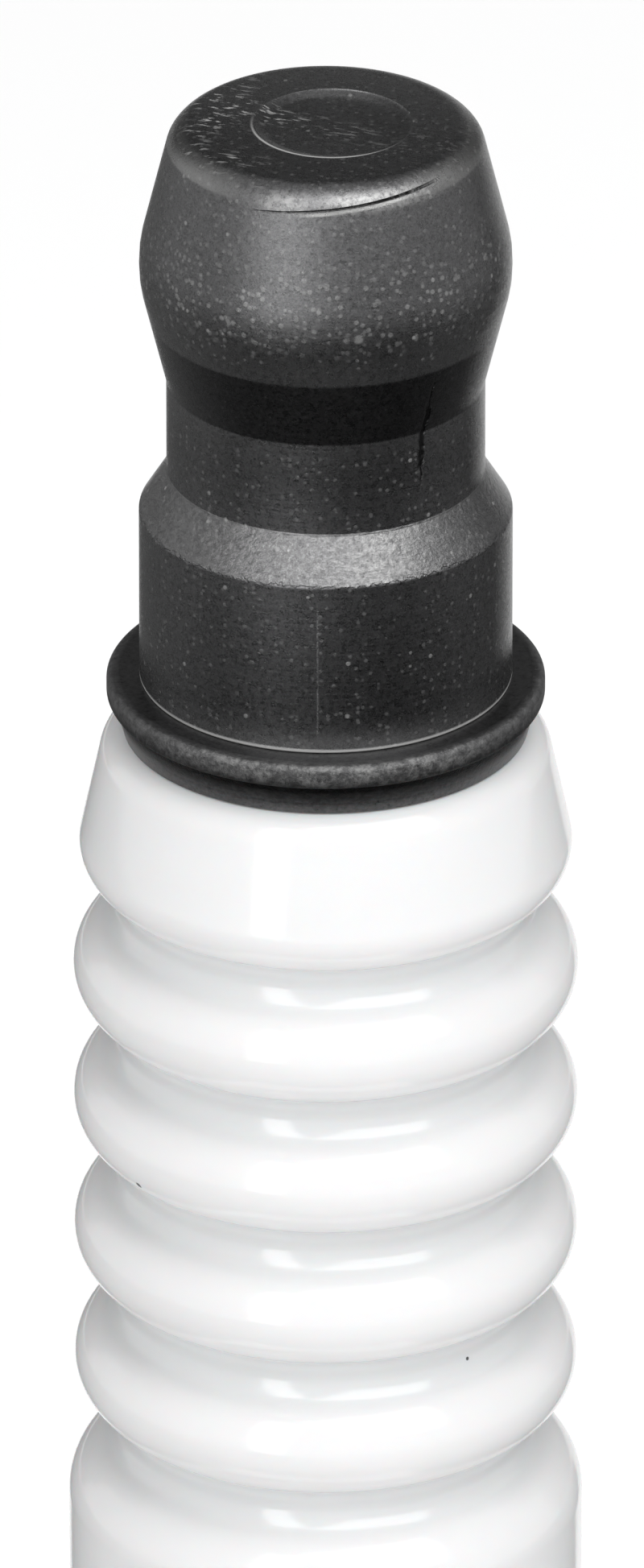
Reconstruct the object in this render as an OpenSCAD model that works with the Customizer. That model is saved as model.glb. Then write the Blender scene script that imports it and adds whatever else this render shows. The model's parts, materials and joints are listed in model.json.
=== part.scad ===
// Ribbed spark plug insulator with its metal terminal, shell, seals and electrodes.
// The axis is Z. Z = 0 is the sealing face of the gasket, and the terminal points up.

/* [Overall] */
// Height of the terminal's top above the sealing face
top_h = 50; // [47:0.5:62]
// Height of the shell's rolled lip above the sealing face
shell_h = 16.6; // [15:0.1:20]
// Length of the shell below the sealing face
reach = 19; // [17:0.1:26]

/* [Terminal nut] */
// Diameter of the nut's foot and of its rounded head
nut_d = 6.35; // [5.8:0.05:7.7]
// Height of the nut
nut_h = 10.3; // [9.8:0.1:12.4]
// How far the flat top's corner stands in from the foot's side, before rounding
nut_top_in = 0.545; // [0.4:0.005:0.8]
// Rounding of the top edge
nut_edge_r = 0.45; // [0.1:0.05:0.8]
// Height of the widest part of the head
belly_z = 7.7; // [7:0.1:8]
// Radius of the head's side round its widest part
belly_r = 2.2; // [1:0.1:3]
// Depth of the neck that the lead's clip closes on
neck_in = 0.475; // [0.3:0.005:0.6]
// Height of the neck's lower end
neck_low_z = 3.85; // [3.4:0.05:4.2]
// Height of the neck's upper end
neck_high_z = 5.42; // [5.1:0.02:6]
// Height of the foot's straight side
foot_h = 3.1; // [2.2:0.1:3.3]
// Diameter of the punch mark on the top
mark_d = 2.68; // [1:0.02:3.4]
// Depth of the punch mark
mark_depth = 0.06; // [0.02:0.01:0.2]
// Wall left between the stud's hole and the nut's top
nut_cap = 1.4; // [1:0.1:1.8]

/* [Terminal stem] */
// Diameter of the stud
stud_d = 4; // [3.2:0.1:4.4]
// Pitch of the stud's thread
stud_pitch = 0.7; // [0.5:0.05:0.8]
// Turns of thread on the stud
stud_turns = 12; // [8:1:12]
// How far the collar stands out round the nut
collar_out = 0.555; // [0.3:0.005:0.7]
// Thickness of the collar's rim
rim_h = 0.44; // [0.3:0.02:0.6]
// Height of the whole collar
collar_h = 1; // [0.8:0.05:1.4]
// Length of the ringed lower end that the glass grips
grip_l = 4; // [2:0.1:6]
// Spacing of the rings on that end
grip_pitch = 0.8; // [0.5:0.05:1]
// Length of the shank below the collar
shank_l = 31.2; // [28:0.1:32]

/* [Insulator head] */
// Diameter of the smooth part of the head
head_d = 8.84; // [7.8:0.02:10.7]
// Diameter of the ribs
rib_d = 8.62; // [8.4:0.02:10.4]
// Number of ribs
rib_count = 4; // [2:1:5]
// Spacing of the ribs
rib_pitch = 2.5; // [2.2:0.05:3]
// Depth of the grooves between the ribs
rib_depth = 0.8; // [0.6:0.02:0.96]
// Share of each wave that the rounded crest takes
crest_share = 0.65; // [0.5:0.01:0.7]
// Diameter of the band over the ribs
band_d = 8.4; // [8.2:0.02:9]
// Diameter of the band's top edge, measured to the corner before rounding
band_top_d = 7.5; // [7.3:0.02:8]
// Rounding of the band's top edge
band_top_r = 0.6; // [0.2:0.05:0.7]
// Rounding of the band's lower edge
band_low_r = 0.73; // [0.5:0.01:0.8]
// Height from the first groove's floor to the insulator's top
first_groove = 3.24; // [3:0.02:4]

/* [Insulator body] */
// How far the barrel stands out round the head
shoulder_w = 0.88; // [0.7:0.02:1.2]
// Height of the barrel's upper edge above the sealing face
barrel_top_z = 10.6; // [9:0.1:11]
// Radial thickness of the nose at its tip
nose_wall = 0.85; // [0.7:0.05:1]
// Length of the nose beyond the shell
nose_out = 1.5; // [0:0.1:2.5]
// Diameter of the bore that holds the stem, the seals and the resistor
core_d = 3.2; // [2.8:0.1:3.8]

/* [Shell] */
// Width across the flats of the hexagon
hex_af = 16; // [15.6:0.1:21]
// Height of the hexagon
hex_h = 6.8; // [5:0.1:7.4]
// Height of the thin waist under the hexagon
waist_h = 1.8; // [1.2:0.1:2.4]
// Wall of the waist and of the rolled lip
waist_wall = 0.85; // [0.6:0.05:1.2]
// Diameter of the flange over the gasket
flange_d = 14.4; // [13.8:0.1:17.4]
// Height of the flange over the gasket
flange_h = 3.4; // [3:0.1:4]
// Outside diameter of the thread
thread_d = 10; // [9.4:0.1:12]
// Pitch of the thread
thread_pitch = 1; // [0.75:0.05:1.25]
// Wall between the thread's root and the bore
thread_wall = 1.05; // [0.9:0.05:1.2]
// Depth of the ledge that the insulator sits on, under the sealing face
ledge_z = 8.2; // [6:0.1:10]
// Width of that ledge
ledge_w = 0.55; // [0.4:0.05:0.7]

/* [Gasket] */
// Thickness of the folded gasket
gasket_h = 1.6; // [1.2:0.1:1.8]
// Outside diameter of the gasket
gasket_d = 13.6; // [12.6:0.1:14]
// Rounding of the gasket's inner edges
gasket_curl = 0.5; // [0.2:0.05:0.6]
// Free play of the gasket along the plug
gasket_play = 0.8; // [0.2:0.1:1.2]

/* [Electrodes] */
// Diameter of the centre electrode
electrode_d = 2; // [1.6:0.1:2.2]
// Height of the centre electrode's head
electrode_head_h = 0.5; // [0.4:0.05:0.8]
// Length of the centre electrode above that head
electrode_tail = 0.9; // [0.6:0.1:1.2]
// Diameter of its copper core
copper_d = 1; // [0.6:0.1:1.2]
// Length of the centre electrode beyond the nose
tip_out = 1.5; // [0.8:0.1:2.5]
// Spark gap
spark_gap = 0.8; // [0.5:0.05:1.2]
// Width of the side electrode
strap_w = 2.4; // [1.8:0.1:2.8]
// Thickness of the side electrode
strap_t = 1.3; // [1:0.05:1.4]
// Inner radius of the side electrode's bend
strap_bend = 0.6; // [0.4:0.05:1]
// How far the side electrode's outer face stands in from the thread
strap_in = 0.3; // [0.2:0.05:0.6]
// Thickness of the metal over the copper core's lower end
core_cover = 1.8; // [1:0.1:3]

/* [Seals and resistor] */
// Length of the resistor
resistor_l = 9; // [6:0.5:10]
// Length of the lower glass seal over the insulator's inner step
low_seal_l = 2.4; // [2:0.1:3]
// How far the upper glass seal rises round the stem's end
seal_rise = 2.2; // [1.5:0.1:3]
// Vertical thickness of the washer under the insulator's seat
seat_washer_t = 0.75; // [0.5:0.05:0.9]
// Height of the packed talc between the wire rings
talc_h = 2.46; // [1.6:0.02:2.8]

/* [Clearances] */
// Between the stud and the nut, at the radius
stud_clear = 0.05; // [0.02:0.01:0.1]
// Between the stem's shank and the insulator, at the radius
shank_clear = 0.1; // [0.05:0.01:0.2]
// Between the insulator and the shell, at the radius
body_clear = 0.15; // [0.05:0.01:0.2]
// Between the gasket and the shell's undercut, at the radius
gasket_clear = 0.3; // [0.2:0.05:0.4]
// Between the centre electrode and the nose, at the radius
electrode_clear = 0.03; // [0.01:0.01:0.06]
// Between the wire rings and their walls
ring_clear = 0.03; // [0.01:0.01:0.05]

/* [Hidden] */
$fn = 96;
arc_step = 12;
slip = 0.01;

// small edges and steps
edge_r = 0.2;
rim_edge_r = 0.157;
rim_under_w = 0.15;
rim_taper_w = 0.36;
grip_depth = 0.2;
stud_chamfer = 0.4;
head_step_w = 0.24;
head_flare_h = 1;
thread_run_in = 0.5;
tip_chamfer_w = 0.4;
tip_chamfer_h = 0.6;
ledge_h = 2.1;
fold_gap = 0.3;

// places along the axis
nut_z = top_h - nut_h;
insulator_top_z = nut_z - collar_h;
shank_end_z = insulator_top_z - shank_l;
flange_top_z = gasket_h + flange_h;
hex_z = flange_top_z + waist_h;
hex_top_z = hex_z + hex_h;
nose_tip_z = -reach - nose_out;
electrode_tip_z = nose_tip_z - tip_out;

// radii of the nut, the collar and the shank
foot_r = nut_d / 2;
neck_r = foot_r - neck_in;
collar_r = foot_r + collar_out;
shank_r = core_d / 2 - shank_clear;

// thread: a groove is cut to this share of the pitch
root_share = 0.6134;
thread_root_r = thread_d / 2 - root_share * thread_pitch;
undercut_r = thread_root_r - 0.1;
stud_h = stud_turns * stud_pitch;
stud_root_r = stud_d / 2 - root_share * stud_pitch;

// radii inside the shell
barrel_r = head_d / 2 + shoulder_w;
shell_bore_r = barrel_r + body_clear;
low_bore_r = thread_root_r - thread_wall;
low_body_r = low_bore_r - body_clear;
ledge_r = low_bore_r - ledge_w;

// the shell's inner cone and the insulator's outer cone that faces it
cone_slope = 0.6;
cone_low_z = 1.9;
cone_top_z = cone_low_z + (shell_bore_r - low_bore_r) * cone_slope;

// the seat, at 45 degrees, with its washer between the shell and the insulator
seat_z = -ledge_z + seat_washer_t;
seat_top_z = seat_z - body_clear;
nose_root_r = ledge_r - body_clear;

// the insulator's inner step that holds the centre electrode's head
step_slope = 1.58;
step_z = -5;
electrode_r = electrode_d / 2;
nose_bore_r = electrode_r + electrode_clear;
step_low_z = step_z - (core_d / 2 - nose_bore_r) * step_slope;
nose_tip_r = nose_bore_r + nose_wall;
head_r = shank_r;
head_z = step_z - (core_d / 2 - electrode_clear - head_r) * step_slope;

// the stack over the insulator's shoulder
shoulder_slope = 0.8;
shoulder_top_z = barrel_top_z + shoulder_w * shoulder_slope;
wire_r = (shell_bore_r - head_d / 2) / 2 - ring_clear;
ring_r = (shell_bore_r + head_d / 2) / 2;
shoulder_tilt = atan(shoulder_slope);
low_ring_z = barrel_top_z + (wire_r + slip) / cos(shoulder_tilt)
    - (ring_r - barrel_r) * shoulder_slope;
talc_z = low_ring_z + wire_r;
high_ring_z = talc_z + talc_h + wire_r;
lip_r = head_d / 2 + body_clear;
lip_tilt = 42;
lip_in_z = high_ring_z + (wire_r + 2 * ring_clear) / cos(lip_tilt)
    - (shell_bore_r - ring_r) * tan(lip_tilt);
lip_end_z = lip_in_z + (shell_bore_r - lip_r) * tan(lip_tilt);

// the seals and the resistor, from the inner step upwards
resistor_z = step_z + low_seal_l;
upper_seal_z = resistor_z + resistor_l;
upper_seal_top_z = shank_end_z + seal_rise;

// waves of the ribs: two arcs that meet at this tilt
wave_tilt = 2 * atan(2 * rib_depth / rib_pitch);
wave_r = rib_pitch / 2 / sin(wave_tilt);
crest_r = crest_share * wave_r;
valley_r = wave_r - crest_r;
valley_floor_r = rib_d / 2 - rib_depth;
first_groove_z = insulator_top_z - first_groove;
last_groove_z = first_groove_z - rib_count * rib_pitch;
band_tilt = acos(1 - (band_d / 2 - valley_floor_r) / (band_low_r + valley_r));
band_low_z = first_groove_z + (band_low_r + valley_r) * sin(band_tilt);
head_step_z = last_groove_z - valley_r;
head_top_z = head_step_z - head_flare_h;
head_edge_r = head_d / 2 - head_step_w;

// an arc about a centre, from one angle to another
function arc(centre, r, from, to) =
    let (n = max(1, ceil(abs(to - from) / arc_step)))
    [for (i = [0 : n]) let (a = from + (to - from) * i / n) centre + r * [cos(a), sin(a)]];

// the arc that rounds corner p between its neighbours a and b
function corner(a, p, b, r) =
    let (u = (a - p) / norm(a - p), w = (b - p) / norm(b - p))
    let (half = acos(u * w) / 2, back = r / tan(half))
    let (centre = p + (u + w) / norm(u + w) * r / sin(half))
    let (s = p + u * back - centre, e = p + w * back - centre)
    let (from = atan2(s.y, s.x), turn = (atan2(e.y, e.x) - from + 540) % 360 - 180)
    arc(centre, r, from, from + turn);

// an outline of [r, z] points, where a third number rounds the corner
function outline(pts) =
    let (n = len(pts), flat = [for (p = pts) [p.x, p.y]])
    [for (i = [0 : n - 1])
        each (len(pts[i]) < 3 ? [flat[i]]
            : corner(flat[(i + n - 1) % n], flat[i], flat[(i + 1) % n], pts[i].z))];

// the outer side of a ringed thread, from its top down
function ringed(r, root_r, top_z, pitch, count) =
    [for (i = [0 : count - 1]) let (z = top_z - i * pitch)
        each [[r, z - 0.08 * pitch], [root_r, z - 0.44 * pitch],
              [root_r, z - 0.6 * pitch], [r, z - 0.96 * pitch]]];

module turned(points) {
    rotate_extrude() polygon(points);
}

module wire_ring(z) {
    translate([0, 0, z]) rotate_extrude() translate([ring_r, 0]) circle(r = wire_r, $fn = 32);
}

module terminal_nut() {
    // the head's two cones meet at this radius before the belly is rounded
    corner_r = foot_r + 0.06;
    color("#4a4a4c") translate([0, 0, nut_z]) difference() {
        turned(outline([[0, 0], [foot_r, 0, 0.08], [foot_r, foot_h, 0.1],
            [neck_r, neck_low_z, 0.1], [neck_r, neck_high_z, edge_r],
            [corner_r, belly_z, belly_r], [foot_r - nut_top_in, nut_h, nut_edge_r],
            [0, nut_h]]));
        translate([0, 0, nut_h - mark_depth]) cylinder(d = mark_d, h = 1);
        translate([0, 0, -1]) cylinder(d = stud_d + 2 * stud_clear, h = nut_h - nut_cap + 1);
    }
}

module terminal_stem() {
    rings = floor(grip_l / grip_pitch);
    grip = ringed(shank_r, shank_r - grip_depth, shank_end_z + grip_l, grip_pitch, rings);
    stud_top_z = nut_z + stud_h;
    stud_edge_z = stud_top_z - stud_chamfer;
    stud = ringed(stud_d / 2, stud_root_r, stud_edge_z, stud_pitch, stud_turns - 1);
    rim = outline([[stud_root_r, nut_z], [collar_r, nut_z, rim_edge_r],
        [collar_r, nut_z - rim_h, rim_edge_r], [collar_r - rim_under_w, nut_z - rim_h],
        [collar_r - rim_taper_w, insulator_top_z], [shank_r, insulator_top_z]]);
    color("#5a5a5c") turned(concat([[0, stud_top_z], [stud_root_r, stud_top_z],
        [stud_d / 2, stud_edge_z]], stud, rim, grip, [[0, shank_end_z]]));
}

module insulator() {
    crests = [for (i = [0 : rib_count - 1])
        let (z = first_groove_z - (i + 0.5) * rib_pitch)
        each concat(
            arc([valley_floor_r + valley_r, z + rib_pitch / 2], valley_r, 180, 180 + wave_tilt),
            arc([rib_d / 2 - crest_r, z], crest_r, wave_tilt, -wave_tilt),
            arc([valley_floor_r + valley_r, z - rib_pitch / 2], valley_r, 180 - wave_tilt, 180))];
    band_low = concat(arc([band_d / 2 - band_low_r, band_low_z], band_low_r, 0, -band_tilt),
        arc([valley_floor_r + valley_r, first_groove_z], valley_r, 180 - band_tilt, 180));
    last = arc([valley_floor_r + valley_r, last_groove_z], valley_r, 180, 260);
    top = [[core_d / 2, insulator_top_z], [band_top_d / 2, insulator_top_z, band_top_r],
        [band_d / 2, band_low_z + 0.06, 0.5], [band_d / 2, band_low_z]];
    body = [[valley_floor_r + valley_r, head_step_z], [head_edge_r, head_step_z, 0.12],
        [head_d / 2, head_top_z, 0.5], [head_d / 2, shoulder_top_z],
        [barrel_r, barrel_top_z, edge_r], [barrel_r, cone_top_z + body_clear, edge_r],
        [low_body_r, cone_low_z + body_clear, 0.3], [low_body_r, seat_top_z],
        [nose_root_r, seat_top_z - low_body_r + nose_root_r, edge_r],
        [nose_tip_r, nose_tip_z, 0.35], [nose_bore_r, nose_tip_z],
        [nose_bore_r, step_low_z], [core_d / 2, step_z]];
    color("white") turned(concat(outline(top), band_low, crests, last, outline(body)));
}

module upper_glass_seal() {
    color("#5b4a3c") difference() {
        translate([0, 0, upper_seal_z]) cylinder(d = core_d, h = upper_seal_top_z - upper_seal_z);
        terminal_stem();
    }
}

module resistor() {
    color("#2b2a2a") translate([0, 0, resistor_z]) cylinder(d = core_d, h = resistor_l);
}

module lower_glass_seal() {
    color("#5b4a3c") difference() {
        translate([0, 0, step_z]) cylinder(d = core_d, h = low_seal_l);
        electrode_body();
    }
}

module electrode_body() {
    cone_z = head_z - (head_r - electrode_r) * step_slope;
    head_end_z = head_z + electrode_head_h;
    tail_z = head_end_z + electrode_tail;
    turned([[0, electrode_tip_z], [electrode_r, electrode_tip_z], [electrode_r, cone_z],
        [head_r, head_z], [head_r, head_end_z], [electrode_r, head_end_z + edge_r],
        [electrode_r, tail_z], [0, tail_z]]);
}

module core_rod() {
    low = electrode_tip_z + core_cover;
    translate([0, 0, low]) cylinder(d = copper_d, h = head_z + electrode_head_h + 0.1 - low);
}

module centre_electrode() {
    color("#9a9a96") difference() {
        electrode_body();
        core_rod();
    }
}

module copper_core() {
    color("#b87346") core_rod();
}

module shell() {
    // the outside steps in to the undercut, then runs down the thread
    thread_top_z = -gasket_play - thread_run_in;
    rings = floor((reach + thread_top_z - tip_chamfer_h - 0.1) / thread_pitch);
    thread = ringed(thread_d / 2, thread_root_r, thread_top_z, thread_pitch, rings);
    waist_r = shell_bore_r + waist_wall;
    outside = outline([[lip_r, lip_end_z], [lip_r, shell_h, edge_r],
        [waist_r - 0.9, shell_h, 0.5], [waist_r, lip_in_z - 0.6, 0.8],
        [waist_r, flange_top_z], [flange_d / 2, flange_top_z, 0.3],
        [flange_d / 2, gasket_h, 0.3], [undercut_r, gasket_h, 0.15],
        [undercut_r, -gasket_play, 0.3], [thread_d / 2, thread_top_z]]);
    tip = [[thread_d / 2, tip_chamfer_h - reach], [thread_d / 2 - tip_chamfer_w, -reach]];
    inside = outline([[low_bore_r, -reach], [low_bore_r, -ledge_z - ledge_h],
        [ledge_r, -ledge_z - ledge_h + ledge_w], [ledge_r, -ledge_z - ledge_w],
        [low_bore_r, -ledge_z], [low_bore_r, cone_low_z, edge_r],
        [shell_bore_r, cone_top_z], [shell_bore_r, lip_in_z]]);
    color("#b9bbbd") union() {
        turned(concat(outside, thread, tip, inside));
        difference() {
            hexagon();
            translate([0, 0, hex_z - 1]) cylinder(r = waist_r - 0.2, h = hex_h + 2);
        }
    }
}

// the hexagon, with its corners turned off at both ends
module hexagon() {
    corner_r = hex_af / 2 / cos(30);
    drop = (corner_r - hex_af / 2 + 0.1) * tan(30);
    intersection() {
        translate([0, 0, hex_z]) rotate(30) cylinder(r = corner_r, h = hex_h, $fn = 6);
        turned([[0, hex_z], [hex_af / 2 - 0.1, hex_z], [corner_r, hex_z + drop],
            [corner_r, hex_top_z - drop], [hex_af / 2 - 0.1, hex_top_z], [0, hex_top_z]]);
    }
}

module seat_washer() {
    in_r = ledge_r + 0.05;
    out_r = low_body_r;
    color("#a8a9ab") turned([[in_r, -ledge_z - low_bore_r + in_r],
        [out_r, -ledge_z - low_bore_r + out_r],
        [out_r, seat_top_z], [in_r, seat_top_z - out_r + in_r]]);
}

module lower_wire_ring() {
    color("#8d8f92") wire_ring(low_ring_z);
}

module upper_wire_ring() {
    color("#8d8f92") wire_ring(high_ring_z);
}

module talc_packing() {
    color("#e6e3da") translate([0, 0, talc_z]) difference() {
        cylinder(r = shell_bore_r, h = talc_h);
        translate([0, 0, -1]) cylinder(d = head_d, h = talc_h + 2);
    }
}

module gasket() {
    in_r = undercut_r + gasket_clear;
    fold_r = gasket_h / 2 - slip;
    slit_r = gasket_d / 2 - 1;
    low_z = (gasket_h - fold_gap) / 2;
    high_z = (gasket_h + fold_gap) / 2;
    color("#c8cacc") turned(outline([[in_r, 0, gasket_curl], [gasket_d / 2, 0, fold_r],
        [gasket_d / 2, gasket_h, fold_r], [in_r, gasket_h, gasket_curl],
        [in_r, high_z], [slit_r, high_z], [slit_r, low_z], [in_r, low_z]]));
}

module side_electrode() {
    out_r = thread_d / 2 - strap_in;
    face_z = electrode_tip_z - spark_gap;
    end_r = -electrode_r;
    color("#9a9a96") rotate([90, 0, 0]) linear_extrude(strap_w, center = true)
        polygon(outline([[out_r, -reach], [out_r, face_z - strap_t, strap_bend + strap_t],
            [end_r, face_z - strap_t, 0.15], [end_r, face_z, 0.15],
            [out_r - strap_t, face_z, strap_bend], [out_r - strap_t, -reach]]));
}

terminal_nut();
terminal_stem();
insulator();
upper_glass_seal();
resistor();
lower_glass_seal();
centre_electrode();
copper_core();
shell();
seat_washer();
lower_wire_ring();
talc_packing();
upper_wire_ring();
gasket();
side_electrode();
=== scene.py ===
import json
import math
from functools import reduce
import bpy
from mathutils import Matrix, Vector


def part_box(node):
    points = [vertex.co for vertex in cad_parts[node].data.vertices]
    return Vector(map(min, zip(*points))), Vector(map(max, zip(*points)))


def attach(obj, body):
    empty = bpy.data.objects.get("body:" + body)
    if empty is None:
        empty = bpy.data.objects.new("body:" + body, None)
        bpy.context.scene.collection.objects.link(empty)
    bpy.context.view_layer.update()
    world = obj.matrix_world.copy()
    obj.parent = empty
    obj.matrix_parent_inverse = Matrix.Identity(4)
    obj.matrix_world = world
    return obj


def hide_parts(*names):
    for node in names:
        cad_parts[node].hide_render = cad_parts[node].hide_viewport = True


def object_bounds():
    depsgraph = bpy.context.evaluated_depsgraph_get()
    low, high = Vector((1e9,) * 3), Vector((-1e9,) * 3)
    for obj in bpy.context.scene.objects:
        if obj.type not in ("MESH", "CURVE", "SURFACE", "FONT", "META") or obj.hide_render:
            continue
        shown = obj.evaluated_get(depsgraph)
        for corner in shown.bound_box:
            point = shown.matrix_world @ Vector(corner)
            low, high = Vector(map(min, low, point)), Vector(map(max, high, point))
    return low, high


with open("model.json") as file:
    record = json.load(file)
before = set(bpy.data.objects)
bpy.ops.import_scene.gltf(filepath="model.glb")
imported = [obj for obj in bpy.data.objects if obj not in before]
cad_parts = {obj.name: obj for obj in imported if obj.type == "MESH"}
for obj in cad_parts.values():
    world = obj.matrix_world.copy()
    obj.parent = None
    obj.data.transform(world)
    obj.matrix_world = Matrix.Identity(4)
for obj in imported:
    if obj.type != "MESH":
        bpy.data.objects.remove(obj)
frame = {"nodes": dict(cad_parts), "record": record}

from types import SimpleNamespace

import bmesh
import bpy
from mathutils import Matrix, Vector

bl_info = {
    "name": "Spark Plug Maker",
    "version": (1, 0, 0),
    "blender": (4, 5, 0),
    "location": "3D View > Sidebar > Spark Plug",
    "description": "Models the turned, threaded and glazed pieces of a spark plug on its solid frame",
    "category": "Object",
}

# Pieces are modelled in millimetres and brought to metres as the last step.
MM = 0.001
# how many steps a turned piece has round its axis
AROUND = 160
# how far the cone under the centre electrode's head falls for each millimetre that it narrows
SEAT_SLOPE = 1.58
CAD_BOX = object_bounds()
RECORD = frame["record"]
BODIES = {node: body for body, nodes in RECORD["behaviour"]["bodies"].items() for node in nodes}


def foot_z(node):
    """Height of a solid's lowest point, in millimetres."""
    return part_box(node)[0].z / MM


def top_z(node):
    """Height of a solid's highest point, in millimetres."""
    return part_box(node)[1].z / MM


# ---------------------------------------------------------------- sizes a user would change


def size(name, description, millimetres):
    """A length property whose default is given in millimetres."""
    return bpy.props.FloatProperty(
        name=name, description=description, default=millimetres * MM,
        min=0.0, precision=5, unit="LENGTH", subtype="DISTANCE")


def count(name, description, default):
    """A whole-number property."""
    return bpy.props.IntProperty(name=name, description=description, default=default, min=1)


def tint(name, description, rgb):
    """A colour property, in linear light."""
    return bpy.props.FloatVectorProperty(
        name=name, description=description, default=rgb, size=3, min=0.0, max=1.0,
        subtype="COLOR")


def degrees(name, description, value):
    """An angle property whose default is given in degrees."""
    return bpy.props.FloatProperty(
        name=name, description=description, default=math.radians(value), subtype="ANGLE")


class NutSizes(bpy.types.PropertyGroup):
    """Sizes of the push-on terminal nut."""

    height: size("Height", "Height of the whole nut", 10.26)
    foot_r: size("Foot radius", "Radius of the nut's straight foot", 3.17)
    foot_h: size("Foot height", "Height of the foot's straight side", 3.1)
    neck_r: size("Neck radius", "Radius of the neck under the head", 2.7)
    neck_low: size("Neck start", "Height of the neck's lower end", 3.85)
    neck_high: size("Neck end", "Height of the neck's upper end", 5.56)
    cone_high: size("Cone end", "Height where the dark cone under the head ends", 6.77)
    belly_z: size("Belly height", "Height of the widest part of the head", 7.7)
    belly_round: size("Belly rounding", "Radius of the head's side", 2.2)
    top_r: size("Top radius", "Radius of the flat top, to its corner", 2.60)
    top_round: size("Top rounding", "Rounding of the top edge", 0.50)
    mark_r: size("Mark radius", "Radius of the round punch mark", 1.36)
    mark_depth: size("Mark depth", "Depth of the punch mark", 0.08)
    mark_side: size("Mark side shift", "How far the mark sits to the right of the axis", 0.1)
    mark_back: size("Mark back shift", "How far the mark sits behind the axis", 0.04)
    mark_tilt: degrees("Mark tilt", "Lean of the mark's floor, deepest at the back right", 1.1)
    bore_r: size("Bore radius", "Radius of the tapped hole inside its thread", 1.65)
    bore_root_r: size("Thread radius", "Radius of the tapped thread's root", 2.05)
    cap: size("Cap", "Metal over the end of the tapped hole", 1.4)


class StemSizes(bpy.types.PropertyGroup):
    """Sizes of the terminal stem."""

    stud_r: size("Stud radius", "Outside radius of the stud's thread", 2.0)
    stud_root_r: size("Stud root radius", "Radius at the root of the stud's thread", 1.57)
    pitch: size("Pitch", "Pitch of the stud's thread", 0.7)
    turns: count("Turns", "Turns of thread on the stud", 12)
    collar_r: size("Collar radius", "Radius of the collar's rim", 3.73)
    collar_h: size("Collar height", "Height of the whole collar", 1.0)
    rim_h: size("Rim height", "Thickness of the collar's rim", 0.44)
    rim_round: size("Rim rounding", "Rounding of the rim's lower edge", 0.14)
    rim_edge: size("Rim edge", "Rounding of the rim's upper edge", 0.12)
    shank_r: size("Shank radius", "Radius of the shank in the insulator", 1.5)
    grip: size("Grip length", "Length of the shank's ringed end", 4.0)


class InsulatorSizes(bpy.types.PropertyGroup):
    """Sizes of the ribbed insulator."""

    head_r: size("Head radius", "Radius of the smooth head", 4.42)
    rib_r: size("Rib radius", "Radius of the ribs", 4.31)
    rib_pitch: size("Rib spacing", "Distance from rib to rib", 2.5)
    rib_depth: size("Rib depth", "Depth of the grooves", 0.8)
    crest_share: bpy.props.FloatProperty(
        name="Crest share", description="Share of each wave that the crest takes",
        default=0.65, min=0.4, max=0.8)
    ribs: count("Ribs", "Number of ribs", 4)
    band_r: size("Band radius", "Radius of the band over the ribs", 4.2)
    band_top_r: size("Band top radius", "Radius of the band's top corner", 3.75)
    band_top_round: size("Band top rounding", "Rounding of the band's top corner", 0.6)
    band_low_round: size("Band lower rounding", "Rounding of the band's lower edge", 0.73)
    first_groove: size("First groove", "Depth of the first groove under the top", 3.24)
    core_r: size("Core radius", "Radius of the bore for the stem and the seals", 1.6)
    barrel_r: size("Barrel radius", "Radius of the barrel inside the shell", 5.3)
    barrel_top: size("Barrel top", "Height of the barrel's upper edge", 10.6)
    body_r: size("Body radius", "Radius of the body inside the thread", 3.187)
    seat_r: size("Seat radius", "Radius of the nose where it leaves the seat", 2.637)
    nose_r: size("Nose radius", "Radius of the nose at its tip", 1.88)
    nose_bore_r: size("Nose bore radius", "Radius of the bore in the nose", 1.03)


class ShellSizes(bpy.types.PropertyGroup):
    """Sizes of the steel shell."""

    flat: size("Flat distance", "Distance from the axis to each flat of the hexagon", 8.0)
    hex_low: size("Hexagon foot", "Height of the hexagon's lower face", 6.8)
    hex_h: size("Hexagon height", "Height of the hexagon", 6.8)
    bore_r: size("Bore radius", "Radius of the bore round the barrel", 5.45)
    wall: size("Wall", "Wall of the waist and of the rolled lip", 0.85)
    lip_r: size("Lip radius", "Radius inside the rolled lip", 4.57)
    flange_r: size("Flange radius", "Radius of the flange over the gasket", 7.2)
    flange_low: size("Flange foot", "Height of the face that the gasket lies on", 1.6)
    flange_h: size("Flange height", "Height of the flange", 3.4)
    undercut_r: size("Undercut radius", "Radius of the undercut that holds the gasket", 4.287)
    thread_r: size("Thread radius", "Outside radius of the thread", 5.0)
    thread_depth: size("Thread depth", "Depth of the thread", 0.613)
    thread_top: size("Thread start", "Depth of the thread's upper end", 0.8)
    pitch: size("Pitch", "Pitch of the thread", 1.0)
    low_bore_r: size("Lower bore radius", "Radius of the bore inside the thread", 3.337)
    ledge_r: size("Ledge radius", "Radius inside the ledge that the insulator sits on", 2.787)
    ledge: size("Ledge depth", "Depth of that ledge", 8.2)


class EndSizes(bpy.types.PropertyGroup):
    """Sizes of the gasket and of the electrodes."""

    gasket_in_r: size("Gasket inner radius", "Radius of the gasket's hole", 4.587)
    gasket_r: size("Gasket radius", "Outside radius of the gasket", 6.8)
    gasket_h: size("Gasket height", "Thickness of the folded gasket", 1.6)
    electrode_r: size("Electrode radius", "Radius of the centre electrode", 1.0)
    strap_w: size("Strap width", "Width of the side electrode", 2.4)
    strap_t: size("Strap thickness", "Thickness of the side electrode", 1.3)
    strap_out: size("Strap reach", "Distance from the axis to the strap's outer face", 4.7)
    bend: size("Strap bend", "Inner radius of the strap's bend", 0.6)


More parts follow.
